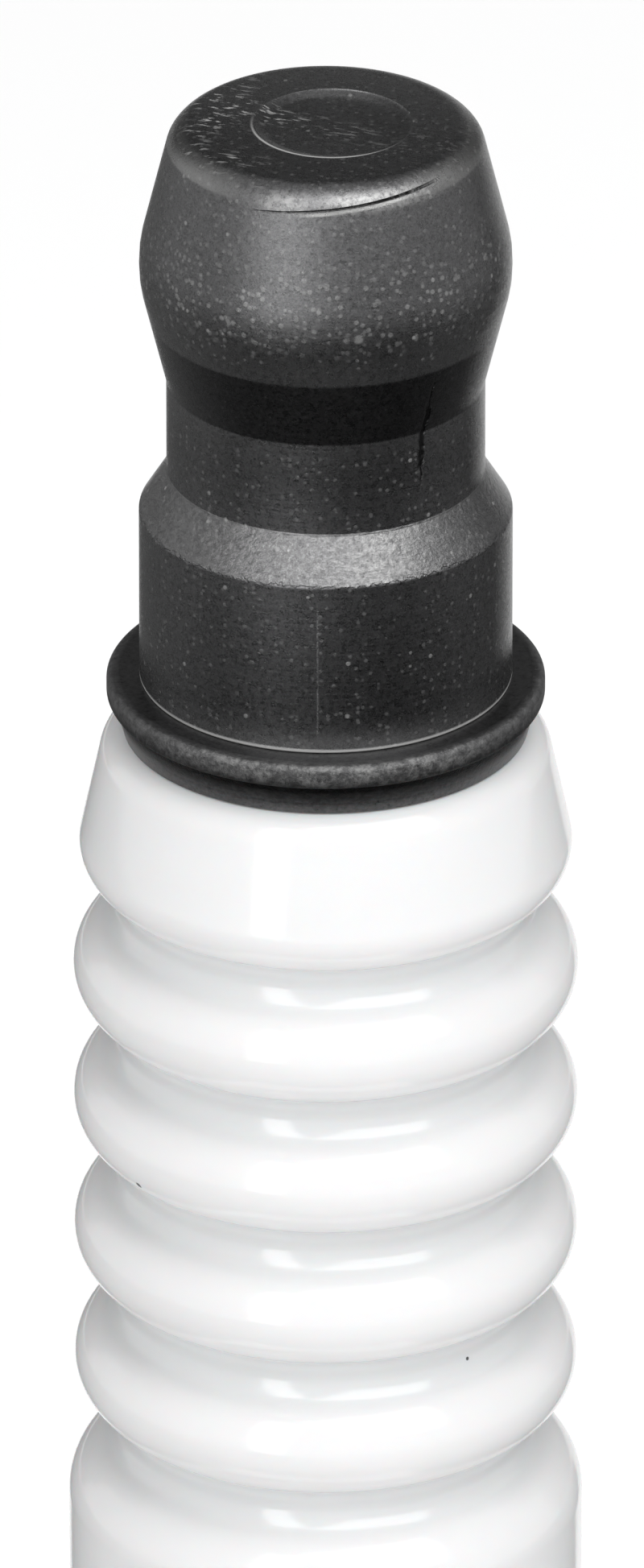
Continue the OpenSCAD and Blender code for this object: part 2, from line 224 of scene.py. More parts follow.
class Finishes(bpy.types.PropertyGroup):
    """Colours of the finishes."""

    blackened: tint("Blackened steel", "The terminal nut's oxide", (0.125, 0.125, 0.127))
    # also the colour of the nut's painted highlights on its top edge, the fold's lip, the shoulder,
    # the punch mark and the foot's edge
    worn: tint("Worn steel", "Worn and spotted places on the nut", (0.34, 0.34, 0.335))
    collar: tint("Collar steel", "The stem and its collar", (0.108, 0.108, 0.109))
    glaze: tint("Glaze", "The insulator's white glaze", (0.57, 0.573, 0.577))
    bisque: tint("Bare alumina", "The unglazed nose", (0.72, 0.70, 0.66))
    plating: tint("Plating", "The shell's bright plating", (0.58, 0.58, 0.57))
    gasket: tint("Gasket plating", "The gasket's tin plating", (0.66, 0.66, 0.65))
    nickel: tint("Nickel alloy", "The electrodes", (0.36, 0.345, 0.32))
    copper: tint("Copper", "The centre electrode's core", (0.60, 0.27, 0.14))
    seal: tint("Seal glass", "The copper-filled glass seals", (0.16, 0.09, 0.06))
    carbon: tint("Resistor", "The resistor's carbon-filled glass", (0.03, 0.03, 0.032))
    talc: tint("Talc", "The pressed talc", (0.70, 0.68, 0.62))


class Studio(bpy.types.PropertyGroup):
    """Camera, lights and floor."""

    camera_gap: size("Camera distance", "Distance from the camera to the collar's top", 498.0)
    elevation: degrees("Elevation", "Height of the camera over the horizon", 26.35)
    roll: degrees("Roll", "Turn of the camera about its line of sight", 0.0)
    aim_drop: size("Aim drop", "How far under the collar's top the camera points", 2.16)
    aim_side: size("Aim side", "How far left of the axis the camera points", 0.064)
    lens: bpy.props.FloatProperty(
        name="Focal length", description="Focal length for a 36 mm sensor", default=673.0,
        unit="CAMERA")
    floor_gap: size("Floor gap", "Height of the side electrode over the floor", 0.2)
    sky: bpy.props.FloatProperty(
        name="Sky", description="Brightness of the studio's white walls", default=0.66)
    dark: bpy.props.FloatProperty(
        name="Dark cards", description="Brightness of the dark cards seen only in reflections",
        default=0.0)
    dim: bpy.props.FloatProperty(
        name="Dim cards", description="Brightness of the cards at the sides, seen in reflections",
        default=0.16)
    grey: bpy.props.FloatProperty(
        name="Grey card", description="Brightness of the grey card behind, seen in reflections",
        default=0.12)
    strip: bpy.props.FloatProperty(
        name="Strip light", description="Radiance of the tall light on the left", default=4.8)
    box: bpy.props.FloatProperty(
        name="Soft box", description="Radiance of the wide light on the right", default=3.9)


GROUPS = {
    "plug_nut": NutSizes,
    "plug_stem": StemSizes,
    "plug_insulator": InsulatorSizes,
    "plug_shell": ShellSizes,
    "plug_ends": EndSizes,
    "plug_finishes": Finishes,
    "plug_studio": Studio,
}


def sizes(group):
    """A group's values, with its lengths as plain numbers in millimetres."""
    lengths = {p.identifier for p in group.bl_rna.properties if getattr(p, "unit", "") == "LENGTH"}
    names = type(group).__annotations__
    return SimpleNamespace(**{
        name: getattr(group, name) / MM if name in lengths else getattr(group, name)
        for name in names})


# ---------------------------------------------------------------- modelling helpers


def arc(centre_r, centre_z, radius, start, end, step=6.0):
    """Points along an arc in the XZ plane, from one angle in degrees to another."""
    parts = max(2, math.ceil(abs(end - start) / step))
    turns = [math.radians(start + (end - start) * i / parts) for i in range(parts + 1)]
    return [(centre_r + radius * math.cos(t), centre_z + radius * math.sin(t)) for t in turns]


def round_corner(bm, corner, radius, step=8.0):
    """Bevels one corner of an outline to an arc of the given radius."""
    sides = [edge.other_vert(corner).co - corner.co for edge in corner.link_edges]
    half = sides[0].angle(sides[1]) / 2
    turn = 180 - math.degrees(2 * half)
    bmesh.ops.bevel(
        bm, geom=[corner], affect="VERTICES", offset=radius / math.tan(half),
        offset_type="OFFSET", segments=max(2, math.ceil(turn / step)), profile=0.5,
        clamp_overlap=False, material=-1)


def outline(bm, corners, closed=False):
    """Joins (r, z) corners by edges. A third number rounds its corner to that radius."""
    verts = [bm.verts.new((corner[0], 0, corner[1])) for corner in corners]
    for start, end in zip(verts, verts[1:] + verts[:1] if closed else verts[1:]):
        bm.edges.new((start, end))
    for vert, corner in zip(verts, corners):
        if len(corner) == 3:
            round_corner(bm, vert, corner[2])


def new_object(name, bm):
    """Turns a bmesh into a linked object, with merged doubles and outward faces."""
    bmesh.ops.remove_doubles(bm, verts=bm.verts, dist=1e-4)
    bmesh.ops.recalc_face_normals(bm, faces=bm.faces)
    mesh = bpy.data.meshes.new(name)
    bm.to_mesh(mesh)
    bm.free()
    made = bpy.data.objects.new(name, mesh)
    bpy.context.scene.collection.objects.link(made)
    return made


def turned(name, corners, closed=False, around=AROUND):
    """Spins an outline about the axis."""
    bm = bmesh.new()
    outline(bm, corners, closed)
    bmesh.ops.spin(
        bm, geom=bm.verts[:] + bm.edges[:], cent=(0, 0, 0), axis=(0, 0, 1),
        dvec=(0, 0, 0), angle=math.tau, steps=around, use_merge=True, use_duplicate=False)
    return new_object(name, bm)


def helix(name, section, pitch, turns, around=64):
    """Winds a closed section up the axis as a right-handed screw."""
    bm = bmesh.new()
    outline(bm, section, closed=True)
    bmesh.ops.spin(
        bm, geom=bm.verts[:] + bm.edges[:], cent=(0, 0, 0), axis=(0, 0, 1),
        dvec=(0, 0, pitch / around), angle=math.tau * turns, steps=around * turns,
        use_merge=False, use_duplicate=False)
    open_edges = [edge for edge in bm.edges if edge.is_boundary]
    bmesh.ops.holes_fill(bm, edges=open_edges, sides=0)
    return new_object(name, bm)


def combine(piece, tool, how):
    """Cuts, joins or trims a piece by a tool, and removes the tool."""
    modifier = piece.modifiers.new("combine", "BOOLEAN")
    modifier.operation = how
    modifier.solver = "EXACT"
    modifier.object = tool
    graph = bpy.context.evaluated_depsgraph_get()
    mesh = bpy.data.meshes.new_from_object(piece.evaluated_get(graph))
    piece.modifiers.clear()
    piece.data = mesh
    mesh.name = piece.name
    bpy.data.objects.remove(tool)
    return piece


def finish_piece(piece, node, material, sharp=35.0):
    """Brings a piece to metres, shades it, and puts it in its solid's place."""
    mesh = piece.data
    mesh.transform(Matrix.Scale(MM, 4))
    mesh.shade_smooth()
    mesh.set_sharp_from_angle(angle=math.radians(sharp))
    weighted = piece.modifiers.new("weighted", "WEIGHTED_NORMAL")
    weighted.keep_sharp = True
    graph = bpy.context.evaluated_depsgraph_get()
    mesh = bpy.data.meshes.new_from_object(piece.evaluated_get(graph))
    piece.modifiers.clear()
    piece.data = mesh
    mesh.name = piece.name
    mesh.materials.clear()
    mesh.materials.append(material)
    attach(piece, BODIES[node])
    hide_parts(node)


# ---------------------------------------------------------------- materials


class Finish:
    """A material, with short ways to add nodes. Patterns are scaled in millimetres."""

    def __init__(self, name, **constants):
        self.material = bpy.data.materials.new(name)
        self.material.use_nodes = True
        self.tree = self.material.node_tree
        self.surface = self.tree.nodes["Principled BSDF"]
        self.object_space = self.tree.nodes.new("ShaderNodeTexCoord").outputs["Object"]
        for socket, value in constants.items():
            self.surface.inputs[socket.replace("_", " ")].default_value = value

    def node(self, kind, inputs, **settings):
        """Adds a node. An input is a number or colour, or another node's socket."""
        made = self.tree.nodes.new("ShaderNode" + kind)
        for key, value in settings.items():
            setattr(made, key, value)
        for key, value in inputs.items():
            if isinstance(value, bpy.types.NodeSocket):
                self.tree.links.new(value, made.inputs[key])
            else:
                made.inputs[key].default_value = value
        return made

    def place(self, stretch=(1, 1, 1), turn=0.0, base=0.0):
        """Object coordinates in millimetres over a base, turned about the axis and stretched."""
        inputs = {"Vector": self.object_space, "Location": (0, 0, base * MM),
                  "Rotation": (0, 0, math.radians(turn)), "Scale": [MM / s for s in stretch]}
        return self.node("Mapping", inputs, vector_type="TEXTURE").outputs[0]

    def axes(self, turn=0.0, base=0.0):
        """X, Y and the height over a base in millimetres, turned about the axis."""
        split = self.node("SeparateXYZ", {"Vector": self.place(turn=turn, base=base)})
        return split.outputs

    def noise(self, scale, detail=4.0, rough=0.55, **where):
        """Cloudy noise, so many lumps to a millimetre."""
        inputs = {"Vector": self.place(**where), "Scale": scale, "Detail": detail,
                  "Roughness": rough}
        return self.node("TexNoise", inputs).outputs["Fac"]

    def ramp(self, value, low, high, start=0.0, end=1.0, smooth=False):
        """Maps low..high to start..end, and holds the ends."""
        inputs = {"Value": value, "From Min": low, "From Max": high, "To Min": start,
                  "To Max": end}
        kind = "SMOOTHSTEP" if smooth else "LINEAR"
        return self.node("MapRange", inputs, interpolation_type=kind).outputs[0]

    def math(self, operation, first, second=0.0):
        """One arithmetic step on two values."""
        return self.node("Math", {0: first, 1: second}, operation=operation).outputs[0]

    def times(self, *values):
        """The product of two or more values."""
        return reduce(lambda first, second: self.math("MULTIPLY", first, second), values)

    def plus(self, *values):
        """The sum of two or more values."""
        return reduce(lambda first, second: self.math("ADD", first, second), values)

    def most(self, *values):
        """The largest of two or more values."""
        return reduce(lambda first, second: self.math("MAXIMUM", first, second), values)

    def reach(self, x, y):
        """How far a point lies from where x and y are both nought."""
        return self.math("SQRT", self.plus(self.times(x, x), self.times(y, y)))

    def mix(self, share, first, second):
        """A colour between two colours."""
        inputs = {0: share, 6: first, 7: second}
        return self.node("Mix", inputs, data_type="RGBA").outputs[2]

    def spots(self, scale, radius, kept):
        """Round spots scattered at random. kept is the share of cells that hold one."""
        inputs = {"Vector": self.place(), "Scale": scale}
        cells = self.node("TexVoronoi", inputs)
        shade = self.node("SeparateColor", {"Color": cells.outputs["Color"]})
        chosen = self.math("LESS_THAN", shade.outputs[0], kept)
        disc = self.ramp(cells.outputs["Distance"], radius, 0.6 * radius)
        return self.times(disc, chosen)

    def window(self, value, low, high, soft):
        """One between low and high, and zero outside, with soft edges."""
        rise = self.ramp(value, low - soft, low + soft, smooth=True)
        fall = self.ramp(value, high - soft, high + soft, 1.0, 0.0, smooth=True)
        return self.times(rise, fall)

    def spot_at(self, place, radius):
        """One round spot at a place in millimetres."""
        centre = [value * MM for value in place]
        inputs = {0: self.object_space, 1: centre}
        away = self.node("VectorMath", inputs, operation="DISTANCE").outputs["Value"]
        return self.ramp(away, radius * MM, 0.6 * radius * MM)

    def bump(self, height, depth_mm, below=None):
        """Bumps of a given depth, laid over other bumps."""
        inputs = {"Height": height, "Distance": depth_mm * MM, "Strength": 1.0}
        if below is not None:
            inputs["Normal"] = below
        return self.node("Bump", inputs).outputs[0]

    def lay(self, **sockets):
        """Joins sockets to the surface shader."""
        for name, socket in sockets.items():
            self.tree.links.new(socket, self.surface.inputs[name.replace("_", " ")])
        return self.material


def rgba(colour, factor=1.0):
    """A colour property as four numbers."""
    return (*[min(1.0, c * factor) for c in colour], 1.0)


def nut_dust_and_sheen(skin, place, nut_z, nut, grain):
    """Pale spots on the head, paler bands on the head, the neck and the foot, a faint seam, and a
    painted highlight along the foot's lower edge.
    """
    z = place[2]
    # crowds of fine spots lie on a band round the head, and a few large ones at its front
    band = skin.times(skin.ramp(z, nut.belly_z - 0.5, nut.belly_z),
                      skin.ramp(z, nut.belly_z + 1.5, nut.belly_z + 0.8))
    crowd = skin.times(band, skin.ramp(skin.noise(1.3, 3.0), 0.32, 0.52))
    fine = skin.times(skin.most(skin.spots(7.0, 0.38, 0.8), skin.spots(3.6, 0.2, 0.35)), crowd)
    large = skin.most(skin.spot_at((-1.94, -2.53, nut_z + 9.1), 0.1),
                      skin.spot_at((-2.13, -2.42, nut_z + 8.9), 0.075),
                      skin.spot_at((0.56, -3.14, nut_z + 7.72), 0.11))
    # loose spots lie all over, but few in the shelter of the cone
    sheltered = skin.window(z, nut.neck_high - 0.26, nut.cone_high + 0.28, 0.1)
    open_share = skin.ramp(skin.math("SUBTRACT", 1.0, sheltered), 0.0, 1.0, 0.15, 1.0)
    loose = skin.most(skin.times(skin.spots(2.9, 0.14, 0.30), 0.5),
                      skin.times(skin.spots(8.0, 0.34, 0.45), 0.22))
    spots = skin.most(skin.times(fine, 0.36), skin.times(loose, open_share),
                      skin.times(large, 0.42))
    # paler bands low on the head and at the top of the neck
    head_pale_band = skin.times(skin.ramp(z, nut.cone_high - 0.01, nut.cone_high + 0.04, 0.0, 0.08),
                           skin.ramp(z, nut.belly_z + 0.6, nut.belly_z - 0.3))
    neck_pale_band = skin.times(skin.ramp(z, nut.neck_high - 0.76, nut.neck_high - 0.06, 0.0, 0.06),
                           skin.ramp(z, nut.neck_high, nut.neck_high - 0.03))
    # paler towards the bottom of the foot
    foot_paler_below = skin.ramp(z, 0.55, 0.05, 0.0, 0.13)
    # painted highlight: a thin bright line along the foot's lower edge
    foot_edge_highlight = skin.ramp(z, 0.08, 0.04, 0.0, 1.0)
    # a faint upright seam on the foot's front
    seam_x = skin.axes(turn=-2.5)[0]
    seam = skin.times(skin.window(seam_x, -0.012, 0.012, 0.012),
                      skin.window(z, 0.4, nut.foot_h - 0.4, 0.3),
                      skin.ramp(grain, 0.45, 0.6, 0.0, 0.3))
    return skin.plus(spots, head_pale_band, neck_pale_band, foot_paler_below, skin.most(seam, foot_edge_highlight))


def top_scrapes_and_highlights(skin, place, nut):
    """Short scrapes across the flat top, a painted highlight on the front edge of the punch mark and
    inside it, and painted light toward the back of the top.
    """
    x, y, z = place
    dashes = skin.noise(1.0, 3.0, 0.6, stretch=(3.2, 13.0, 1.0), turn=-19)
    along = skin.plus(y, skin.times(x, 0.45))
    smear = skin.times(skin.window(along, -0.35, 0.45, 0.25), skin.ramp(x, 1.2, -1.6, 0.25, 1.0))
    patch = skin.times(skin.ramp(skin.noise(0.9, 2.0), 0.38, 0.58),
                       skin.ramp(x, -0.9, -1.7, 0.12, 1.0))
    scrape = skin.times(skin.ramp(dashes, 0.565, 0.63), skin.most(patch, smear))
    mark_x = skin.math("SUBTRACT", x, nut.mark_side)
    mark_y = skin.math("SUBTRACT", y, nut.mark_back)
    out = skin.reach(mark_x, mark_y)
    # painted highlight: the mark's edge and a crescent of its floor are brightest on the side facing
    # front and left
    facing = skin.plus(skin.times(mark_x, -0.3), skin.times(mark_y, -0.75))
    ring = skin.times(skin.window(out, nut.mark_r - 0.03, nut.mark_r + 0.015, 0.02),
                      skin.ramp(facing, 0.1, 0.9, 0.12, 1.2))
    crescent_highlight = skin.times(skin.window(out, nut.mark_r - 0.2, nut.mark_r, 0.04),
                          skin.ramp(facing, 0.75, 1.05, 0.0, 0.2))
    # painted light: the top grows paler toward the back
    back_painted_light = skin.ramp(y, -0.6, 2.4, 0.0, 0.12)
    return skin.times(skin.most(scrape, ring, crescent_highlight, back_painted_light),
                      skin.ramp(z, nut.height - 0.14, nut.height - 0.10))


def granular_shoulder(skin, place, nut):
    """Where the shoulder over the foot is, with a ragged lower edge."""
    z = place[2]
    ragged = skin.plus(z, skin.ramp(skin.noise(9.0, 3.0), 0.3, 0.7, -0.05, 0.05))
    return skin.times(skin.ramp(ragged, nut.foot_h, nut.foot_h + 0.03),
                      skin.ramp(z, nut.neck_low + 0.04, nut.neck_low + 0.01))


def rubbed_edge_and_highlight(skin, place, nut, coarse):
    """Where the top edge is worn and brightened as a painted highlight: in two patches of its front,
    and at both sides.
    """
    x, z = place[0], place[2]
    rubbed = skin.most(skin.times(skin.window(x, -1.05, -0.35, 0.15), 0.7),
                       skin.window(x, 0.1, 1.9, 0.3))
    front = skin.times(skin.window(z, nut.height - 0.42, nut.height - 0.13, 0.06),
                       skin.ramp(coarse, 0.35, 0.6), skin.ramp(rubbed, 0.0, 1.0, 0.1, 1.1))
    sides = skin.times(skin.ramp(skin.math("ABSOLUTE", x), 1.2, 2.0, 0.0, 0.85),
                       skin.window(z, nut.height - 0.36, nut.height - 0.04, 0.03))
    return skin.most(front, sides)


def fold_shade_and_lip_highlight(skin, place, nut, coarse):
    """One thin slanted fold under the top edge at the front, darkened as painted shade, and a painted
    highlight on its lip.
    """
    x, y, z = place
    front = skin.ramp(y, 0.0, -0.2)
    slanted = skin.plus(z, skin.times(x, -0.09))
    fold_z = nut.height - 0.36
    # painted shade along the fold
    fold = skin.times(skin.window(slanted, fold_z, fold_z + 0.03, 0.012), front,
                      skin.window(x, -1.1, 1.75, 0.35), skin.ramp(coarse, 0.35, 0.5, 0.35, 1.0),
                      skin.ramp(x, -0.6, 1.0, 0.4, 1.0))
    # painted highlight along the fold's lower lip
    lip = skin.times(skin.window(slanted, fold_z - 0.07, fold_z - 0.02, 0.015), front,
                     skin.window(x, -0.3, 1.4, 0.3))
    return fold, lip


def neck_scar(skin, place):
    """One scar down the neck and the cone, thin at both ends."""
    z = place[2]
    across, depth = skin.axes(turn=37)[:2]
    wobble = skin.ramp(skin.noise(3.0, 3.0), 0.3, 0.7, -0.025, 0.025)
    slant = skin.ramp(z, 4.8, 6.4, 0.04, -0.06)
    scar_x = skin.plus(across, wobble, slant)
    wide = skin.times(skin.window(scar_x, -0.055, 0.045, 0.02), skin.window(z, 4.85, 6.1, 0.12))
    thin = skin.times(skin.window(scar_x, -0.02, 0.02, 0.015), skin.window(z, 4.6, 6.6, 0.2))
    return skin.times(skin.most(wide, thin), skin.ramp(depth, -1.0, -1.4, 0.0, 0.85))


def blackened_steel(colours, nut_z, nut):
    """Dark oxide on turned steel: dusty, scraped on top, worn at the edge and the shoulder, with
    painted shade under the head and in a fold, and painted highlights on the top edge, the fold's
    lip, the shoulder, the punch mark and the foot's lower edge.
    """
    skin = Finish("blackened_steel")
    # heights in this finish are in millimetres over the nut's foot
    place = skin.axes(base=nut_z)
    x, y, z = place
    grain = skin.noise(30.0, 6.0, 0.75)
    coarse = skin.noise(10.0, 5.0, 0.65)
    # pale spots, scrapes and paler bands, with painted highlights at the punch mark and the foot's
    # lower edge and painted light toward the back of the top
    light = skin.most(nut_dust_and_sheen(skin, place, nut_z, nut, grain), top_scrapes_and_highlights(skin, place, nut))
    shoulder = granular_shoulder(skin, place, nut)
    fold, lip = fold_shade_and_lip_highlight(skin, place, nut, coarse)
    # the fold's painted shade, and the neck's dark scar
    cut = skin.most(fold, neck_scar(skin, place))
    speckle = skin.plus(skin.times(grain, 0.7), skin.times(coarse, 0.3))
    mottled = skin.mix(skin.ramp(speckle, 0.34, 0.66), rgba(colours.blackened, 0.48),
                       rgba(colours.blackened, 1.6))
    # painted shade: the cone under the head is darker than the rest, most of all at the front
    cone = skin.times(skin.window(z, nut.neck_high, nut.cone_high, 0.02),
                      skin.ramp(y, -0.6, -2.3, 0.1, 0.5))
    mottled = skin.mix(cone, mottled, rgba(colours.blackened, 0.05))
    # granular wear on the shoulder, made brighter right of centre as a painted highlight
    grains = skin.times(shoulder, skin.ramp(coarse, 0.3, 0.7, 0.0, 0.3),
                        skin.ramp(x, 0.1, 0.9, 0.75, 1.9), skin.ramp(x, 1.1, 2.2, 1.0, 0.2))
    # wear on the top edge brightened as a painted highlight, and the painted highlight on the fold's
    # lip
    worn_edge_and_highlight = skin.times(rubbed_edge_and_highlight(skin, place, nut, coarse), 0.55)
    colour = skin.mix(skin.most(grains, worn_edge_and_highlight, lip), mottled, rgba(colours.worn))
    colour = skin.mix(light, colour, rgba(colours.worn))
    colour = skin.mix(cut, colour, (0.01, 0.01, 0.01, 1.0))
    metallic = skin.ramp(light, 0.0, 1.0, 1.0, 0.35)
    polish = skin.math("SUBTRACT", skin.ramp(coarse, 0.25, 0.75, 0.23, 0.33),
                       skin.times(shoulder, 0.07))
    rough = skin.most(polish, skin.times(light, 0.6))
    rings = skin.noise(1.0, 3.0, 0.6, stretch=(0.4, 0.4, 14.0))
    normal = skin.bump(rings, 0.003)
    normal = skin.bump(grain, 0.006, normal)
    normal = skin.bump(skin.times(coarse, shoulder), 0.022, normal)
    normal = skin.bump(light, 0.006, normal)
    normal = skin.bump(cut, -0.03, normal)
    return skin.lay(Base_Color=colour, Metallic=metallic, Roughness=rough, Normal=normal)


def collar_steel(colours, rim_r, rim_low):
    """The stem's steel, rough where the rim was rolled, with painted shade under the rim."""
    skin = Finish("collar_steel")
    x, y, z = skin.axes()
    radius = skin.reach(x, y)
    rim = skin.ramp(radius, rim_r - 0.22, rim_r - 0.08)
    grain = skin.noise(12.0, 8.0, 0.7)
    torn = skin.noise(5.0, 6.0, 0.75)
    rough_rim = skin.times(rim, skin.ramp(torn, 0.44, 0.62))
    mottled = skin.mix(skin.ramp(grain, 0.3, 0.7), rgba(colours.collar, 0.6),
                       rgba(colours.collar, 1.4))
    share = skin.times(rough_rim, skin.ramp(y, -2.4, -3.3, 0.0, 0.5))
    colour = skin.mix(share, mottled, rgba(colours.worn))
    # painted shade under the rim's lower edge
    crease_shade = skin.times(skin.ramp(z, rim_low - 0.40, rim_low - 0.10),
                        skin.ramp(z, rim_low + 0.28, rim_low),
                        skin.ramp(radius, rim_r - 0.5, rim_r - 0.4))
    colour = skin.mix(crease_shade, colour, (0.0, 0.0, 0.0, 1.0))
    metallic = skin.ramp(rough_rim, 0.0, 1.0, 1.0, 0.75)
    rough = skin.plus(skin.ramp(grain, 0.3, 0.7, 0.26, 0.36), skin.times(rim, 0.28))
    normal = skin.bump(grain, 0.004)
    normal = skin.bump(skin.times(torn, rim), 0.04, normal)
    return skin.lay(Base_Color=colour, Metallic=metallic, Roughness=rough, Normal=normal)


def glazed_alumina(colours, glaze_end, top):
    """White glaze over the head, and bare alumina on the nose."""
    skin = Finish("glazed_alumina", IOR=1.45, Subsurface_Weight=0.25, Subsurface_Scale=0.0006)
    z = skin.axes()[2]
    bare = skin.ramp(z, glaze_end + 0.3, glaze_end - 0.3)
    clouds = skin.noise(0.5, 3.0)
    tinted = skin.mix(skin.ramp(clouds, 0.3, 0.7), rgba(colours.glaze, 0.985),
                      rgba(colours.glaze))
    colour = skin.mix(bare, tinted, rgba(colours.bisque))
    # a few dark specks scattered in the glaze, and two at the front
    scattered = skin.times(skin.spots(0.85, 0.035, 0.12),
                           skin.ramp(z, glaze_end - 0.3, glaze_end + 0.3))
    specks = skin.most(scattered, skin.spot_at((2.08, -3.63, top - 2.58), 0.1),
                       skin.spot_at((-3.2, -2.72, top - 7.46), 0.08))
    colour = skin.mix(specks, colour, (0.05, 0.05, 0.05, 1.0))
    rough = skin.plus(skin.ramp(clouds, 0.2, 0.8, 0.10, 0.15), skin.times(bare, 0.5))
    peel = skin.noise(2.2, 2.0)
    normal = skin.bump(peel, 0.003)
    normal = skin.bump(skin.times(skin.noise(14.0, 5.0), bare), 0.01, normal)
    return skin.lay(Base_Color=colour, Roughness=rough, Normal=normal)


def turned_metal(name, colour, rough=(0.22, 0.34), lines=0.004, grain_depth=0.004):
    """Plated or bare metal with fine lathe lines and a light grain."""
    skin = Finish(name, Metallic=1.0)
    grain = skin.noise(9.0, 6.0, 0.6)
    clouds = skin.noise(0.35, 4.0)
    rings = skin.noise(1.0, 4.0, 0.65, stretch=(0.3, 0.3, 11.0))
    shade = skin.mix(skin.ramp(clouds, 0.3, 0.7), rgba(colour, 0.86), rgba(colour, 1.06))
    polish = skin.plus(skin.ramp(rings, 0.3, 0.7, rough[0], rough[1]),
                       skin.ramp(clouds, 0.35, 0.75, 0.0, 0.06))
    normal = skin.bump(rings, lines)
    normal = skin.bump(grain, grain_depth, normal)
    return skin.lay(Base_Color=shade, Roughness=polish, Normal=normal)


def pressed_powder(name, colour, rough, sparkle=0.0):
    """Pressed or fused powder: grains of two shades."""
    skin = Finish(name, Metallic=sparkle)
    grains = skin.noise(11.0, 7.0, 0.7)
    shade = skin.mix(skin.ramp(grains, 0.35, 0.65), rgba(colour, 0.6), rgba(colour, 1.35))
    polish = skin.ramp(grains, 0.3, 0.7, rough - 0.08, rough + 0.08)
    return skin.lay(Base_Color=shade, Roughness=polish, Normal=skin.bump(grains, 0.02))


# ---------------------------------------------------------------- the pieces


class PLUG_OT_terminal_nut(bpy.types.Operator):
    """Turn the terminal nut, with its punch mark and tapped hole"""

    bl_idname = "plug.terminal_nut"
    bl_label = "Terminal Nut"

    def execute(self, context):
        scene = context.scene
        nut = sizes(scene.plug_nut)
        stem = sizes(scene.plug_stem)
        base = foot_z("terminal_nut")
        top = base + nut.height
        hole_end = top - nut.cap
        widest = nut.foot_r + 0.06
        piece = turned("terminal_nut_turned", [
            (0, top), (nut.top_r, top, nut.top_round),
            (widest, base + nut.belly_z, nut.belly_round),
            (nut.neck_r, base + nut.neck_high, 0.12), (nut.neck_r, base + nut.neck_low, 0.06),
            (nut.foot_r, base + nut.foot_h, 0.08), (nut.foot_r, base, 0.03),
            (nut.bore_root_r + 0.1, base), (nut.bore_r, base + 0.45), (nut.bore_r, hole_end),
            (0, hole_end + 0.5)])
        mouth_r, mouth_half, root_half = nut.bore_r - 0.05, 0.335, 0.075
        groove = helix("tapped_groove", [
            (mouth_r, -mouth_half), (nut.bore_root_r, -root_half),
            (nut.bore_root_r, root_half), (mouth_r, mouth_half)], stem.pitch, stem.turns)
        groove.data.transform(Matrix.Translation((0, 0, base - 0.5 * stem.pitch)))
        combine(piece, groove, "DIFFERENCE")
        punch = turned("punch", [
            (0, -nut.mark_depth), (nut.mark_r - 0.19, -nut.mark_depth, 0.3),
            (nut.mark_r, 0), (nut.mark_r + 0.03, 0.1), (0, 0.1)])
        lean = Matrix.Rotation(nut.mark_tilt, 4, Vector((-0.6, 0.8, 0)))
        place = Matrix.Translation((nut.mark_side, nut.mark_back, top))
        punch.data.transform(place @ lean)
        combine(piece, punch, "DIFFERENCE")
        material = blackened_steel(scene.plug_finishes, base, nut)
        finish_piece(piece, "terminal_nut", material, sharp=12.0)
        return {"FINISHED"}


class PLUG_OT_terminal_stem(bpy.types.Operator):
    """Turn the terminal stem: stud, collar, shank and ringed end"""

    bl_idname = "plug.terminal_stem"
    bl_label = "Terminal Stem"

    def execute(self, context):
        scene = context.scene
        stem = sizes(scene.plug_stem)
        collar_top = foot_z("terminal_nut")
        stud_top, end = top_z("terminal_stem"), foot_z("terminal_stem")
        collar_low = collar_top - stem.collar_h
        rim_low = collar_top - stem.rim_h
        rings = [corner for i in range(4)
                 for corner in ((stem.shank_r, end + stem.grip - i, 0.05),
                                (stem.shank_r - 0.2, end + stem.grip - i - 0.3, 0.1),
                                (stem.shank_r - 0.2, end + stem.grip - i - 0.5, 0.1),
                                (stem.shank_r, end + stem.grip - i - 0.8, 0.05))]
        piece = turned("terminal_stem_turned", [
            (0, stud_top), (stem.stud_root_r - 0.05, stud_top), (stem.stud_r, stud_top - 0.45),
            (stem.stud_r, collar_top + 0.5), (stem.stud_root_r, collar_top + 0.35),
            (stem.stud_root_r, collar_top, 0.1),
            (stem.collar_r, collar_top, stem.rim_edge),
            (stem.collar_r, rim_low, stem.rim_round), (stem.collar_r - 0.13, rim_low, 0.03),
            (stem.collar_r - 0.28, collar_low, 0.03), (stem.shank_r, collar_low, 0.1),
            *rings, (stem.shank_r - 0.05, end), (0, end)])
        mouth_r, mouth_half, root_half = stem.stud_r + 0.04, 0.33, 0.058
        groove = helix("stud_groove", [
            (stem.stud_root_r, -root_half), (stem.stud_root_r, root_half),
            (mouth_r, mouth_half), (mouth_r, -mouth_half)], stem.pitch, stem.turns + 1)
        groove.data.transform(Matrix.Translation((0, 0, collar_top)))
        combine(piece, groove, "DIFFERENCE")
        material = collar_steel(scene.plug_finishes, stem.collar_r, rim_low)
        finish_piece(piece, "terminal_stem", material)
        return {"FINISHED"}


